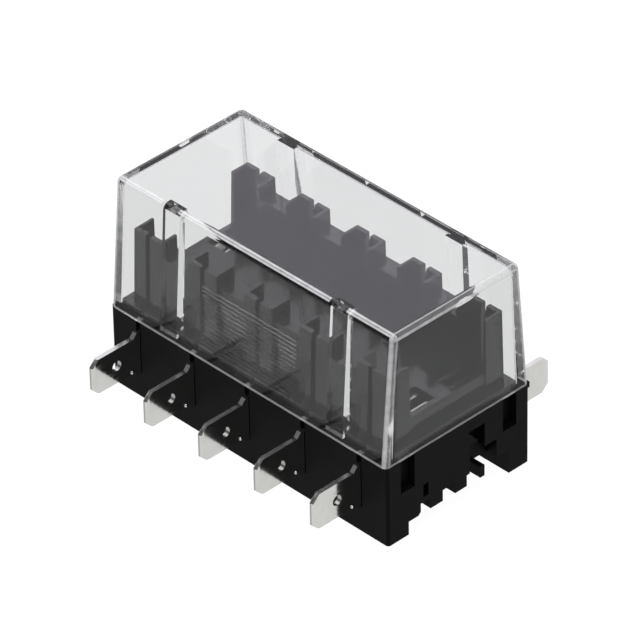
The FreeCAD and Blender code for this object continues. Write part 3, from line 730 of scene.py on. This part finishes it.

# %% [markdown]
# Light bends at each face of clear plastic, which draws its walls as bright and dark lines, so
# the shader is a real transmission one and not a see-through alpha. Faint waves from the mould
# bend it a little more. Shadow rays pass straight through, because bent light is too noisy to
# light the fuse seats inside within a short render. The painted light of the edges and corners
# is a diffuse shader that is mixed in, and noise makes it uneven.

# %% Clear plastic
CLEAR_TINT = (0.965, 0.972, 0.968, 1.0)
CLEAR_REFLECTION = (0.25, 0.25, 0.26, 1.0)
CLEAR_SHADOW = (0.9, 0.9, 0.9, 1.0)
WAVE_SCALE = 90.0
WAVE_STRENGTH = 0.05
WAVE_DEPTH = 0.1 * MM
# colour of the diffuse that paints light on the edges and corners
PAINTED_LIGHT_COLOUR = (0.8, 0.8, 0.82, 1.0)
PAINTED_LIGHT_NOISE_SCALE = 900.0
LEAST_SCATTER = 0.6
MOST_SCATTER = 0.825


def polished_shader(nodes, link, coordinates):
    """Polished clear plastic with faint waves from the mould."""
    shader = nodes.new("ShaderNodeBsdfPrincipled")
    shader.inputs["Base Color"].default_value = CLEAR_TINT
    shader.inputs["Transmission Weight"].default_value = 1.0
    shader.inputs["IOR"].default_value = CLEAR_IOR
    shader.inputs["Specular Tint"].default_value = CLEAR_REFLECTION
    shader.inputs["Roughness"].default_value = 0.0
    waves = noise(nodes, link, coordinates, WAVE_SCALE, detail=2.0)
    link(bump(nodes, link, waves, WAVE_STRENGTH, WAVE_DEPTH), shader.inputs["Normal"])
    return shader.outputs["BSDF"]


def clear_plastic():
    """Clear plastic with painted light on its edges and corners, and a faint shadow."""
    material, nodes, link = new_material("clear_moulding")
    maths = calculator(nodes, link)
    coordinates = nodes.new("ShaderNodeTexCoord").outputs
    place = coordinates["Object"]
    edges = painted_edge_light(nodes, link, place, coordinates["Normal"])
    haze_and_painted_light = maths("MAXIMUM", edges, painted_trapped_light(nodes, link, place))
    painted_light_unevenness = noise(nodes, link, place, PAINTED_LIGHT_NOISE_SCALE, detail=2.0)
    haze_and_painted_light = maths("MULTIPLY", haze_and_painted_light, spread(nodes, link, painted_light_unevenness, LEAST_SCATTER, MOST_SCATTER))
    painted_light_diffuse = nodes.new("ShaderNodeBsdfDiffuse")
    painted_light_diffuse.inputs["Color"].default_value = PAINTED_LIGHT_COLOUR
    polished = polished_shader(nodes, link, place)
    with_painted_edge_light = mix_shaders(nodes, link, haze_and_painted_light, polished, painted_light_diffuse.outputs["BSDF"])
    passing = nodes.new("ShaderNodeBsdfTransparent")
    passing.inputs["Color"].default_value = CLEAR_SHADOW
    shadow_ray = nodes.new("ShaderNodeLightPath").outputs["Is Shadow Ray"]
    show(nodes, link, mix_shaders(nodes, link, shadow_ray, with_painted_edge_light, passing.outputs["BSDF"]))
    return material


clear = clear_plastic()
dress("cover", clear)
print("cover: clear plastic")

# %% [markdown]
# ## Rows of small forms
# Two kinds of small form repeat at even steps: the ribs of the cover and the pips of the tabs.
# Array modifiers could repeat them, but one Geometry Nodes tree serves both. It sets a unit
# shape on the points of a line and scales it, and its count, start, step and size are inputs.

# %% Tree for an even row
BALL_RADIUS = 0.5
BALL_SEGMENTS = 24
BALL_RINGS = 12


def add_input(tree, name, kind):
    """Named input of a node group, and the identifier that sets it."""
    return tree.interface.new_socket(name, in_out="INPUT", socket_type=kind).identifier


def row_tree(name, unit_shape, material):
    """Tree that repeats a unit shape, scaled to a size, at even steps."""
    tree = bpy.data.node_groups.new(name, "GeometryNodeTree")
    tree.interface.new_socket("Geometry", in_out="OUTPUT", socket_type="NodeSocketGeometry")
    names = {"count": add_input(tree, "Count", "NodeSocketInt")}
    for title in ("Start", "Step", "Size"):
        names[title.lower()] = add_input(tree, title, "NodeSocketVector")
    nodes = tree.nodes
    link = tree.links.new
    source = nodes.new("NodeGroupInput")
    line = nodes.new("GeometryNodeMeshLine")
    line.mode = "OFFSET"
    link(source.outputs["Count"], line.inputs["Count"])
    link(source.outputs["Start"], line.inputs["Start Location"])
    link(source.outputs["Step"], line.inputs["Offset"])
    shape = nodes.new(unit_shape)
    if unit_shape == "GeometryNodeMeshUVSphere":
        shape.inputs["Segments"].default_value = BALL_SEGMENTS
        shape.inputs["Rings"].default_value = BALL_RINGS
        shape.inputs["Radius"].default_value = BALL_RADIUS
    repeat = nodes.new("GeometryNodeInstanceOnPoints")
    link(line.outputs["Mesh"], repeat.inputs["Points"])
    link(shape.outputs["Mesh"], repeat.inputs["Instance"])
    link(source.outputs["Size"], repeat.inputs["Scale"])
    real = nodes.new("GeometryNodeRealizeInstances")
    link(repeat.outputs["Instances"], real.inputs["Geometry"])
    finish = nodes.new("GeometryNodeSetMaterial")
    finish.inputs["Material"].default_value = material
    link(real.outputs["Geometry"], finish.inputs["Geometry"])
    result = nodes.new("NodeGroupOutput")
    link(finish.outputs["Geometry"], result.inputs["Geometry"])
    return tree, names


print("ball:", BALL_SEGMENTS, "segments,", BALL_RINGS, "rings")

# %% [markdown]
# The tree needs an object to work on, and the part needs a plain mesh. So a seed object with an
# empty mesh carries the tree, its evaluated shape is kept, and the seed is removed.

# %% Turn a row into a plain mesh
def grow(name, row, count, start, step, size):
    """Plain mesh object made by a row tree."""
    tree, names = row
    seed = bpy.data.objects.new(name + "_seed", bpy.data.meshes.new(name + "_seed"))
    bpy.context.scene.collection.objects.link(seed)
    modifier = seed.modifiers.new("row", "NODES")
    modifier.node_group = tree
    modifier[names["count"]] = count
    modifier[names["start"]] = start
    modifier[names["step"]] = step
    modifier[names["size"]] = size
    view = bpy.context.evaluated_depsgraph_get()
    mesh = bpy.data.meshes.new_from_object(seed.evaluated_get(view))
    mesh.name = name
    bpy.data.objects.remove(seed)
    piece = bpy.data.objects.new(name, mesh)
    bpy.context.scene.collection.objects.link(piece)
    return piece


print("rows can be made plain meshes")

# %% [markdown]
# ## Fine grip ribs
# Between its two guide posts the front of the cover has a patch of fine level ribs. The rear
# wall shows none through the roof, so it stays plain. The ribs could be cut into the cover
# with a boolean, but bars that lie half in its wall look the same and stay easy to change.

# %% Ribs on the front of the cover
RIB_COUNT = 15
RIB_SPACING = 0.75 * MM
RIB_LENGTH = 20.4 * MM
RIB_WIDTH = 0.2 * MM
RIB_THICKNESS = 0.05 * MM
RIB_LOW = 16.8 * MM


def make_ribs(name):
    """Ribs up the leaning front of the cover."""
    row = row_tree("fine_ribs", "GeometryNodeMeshCube", clear)
    face = RIM_HALF_WIDTH - LEAN_PER_HEIGHT * (RIB_LOW - RIM_HEIGHT)
    start = (0.0, -face, RIB_LOW)
    step = (0.0, LEAN_PER_HEIGHT * RIB_SPACING, RIB_SPACING)
    piece = grow(name, row, RIB_COUNT, start, step, (RIB_LENGTH, RIB_THICKNESS, RIB_WIDTH))
    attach(piece, "lid")
    return piece


front_ribs = make_ribs("ribs_front")
print(front_ribs.name, len(front_ribs.data.polygons), "faces")

# %% [markdown]
# ## Pips of the tabs
# Low on each tab, close to the wall, a tiny bright dot shows. It is taken for a pip that is
# pressed out of the sheet to stop the receptacle, which catches the light like a bead. A
# flattened ball that lies half in the sheet makes it. The rear terminals are the front ones
# turned half round, so their pips are on the other face.

# %% Pips on the tabs
PITCH = 12.0 * MM
WAYS = 5
SHEET_HALF = 0.4 * MM
PIP_OUTWARDS = 16.95 * MM
PIP_HEIGHT = 5.68 * MM
PIP_DIAMETER = 0.6 * MM
PIP_RISE = 0.26 * MM


def make_pips(name, side, row):
    """Pips of the front row, side -1, or of the rear row, side 1."""
    first = (-side * SHEET_HALF - PITCH * (WAYS - 1) / 2, side * PIP_OUTWARDS, PIP_HEIGHT)
    size = (2 * PIP_RISE, PIP_DIAMETER, PIP_DIAMETER)
    piece = grow(name, row, WAYS, first, (PITCH, 0.0, 0.0), size)
    for face in piece.data.polygons:
        face.use_smooth = True
    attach(piece, "block")
    return piece


pip_row = row_tree("tab_pips", "GeometryNodeMeshUVSphere", tin)
for pip_name, pip_side in (("pips_front", -1), ("pips_rear", 1)):
    pips = make_pips(pip_name, pip_side, pip_row)
    print(pips.name, len(pips.data.polygons), "faces")
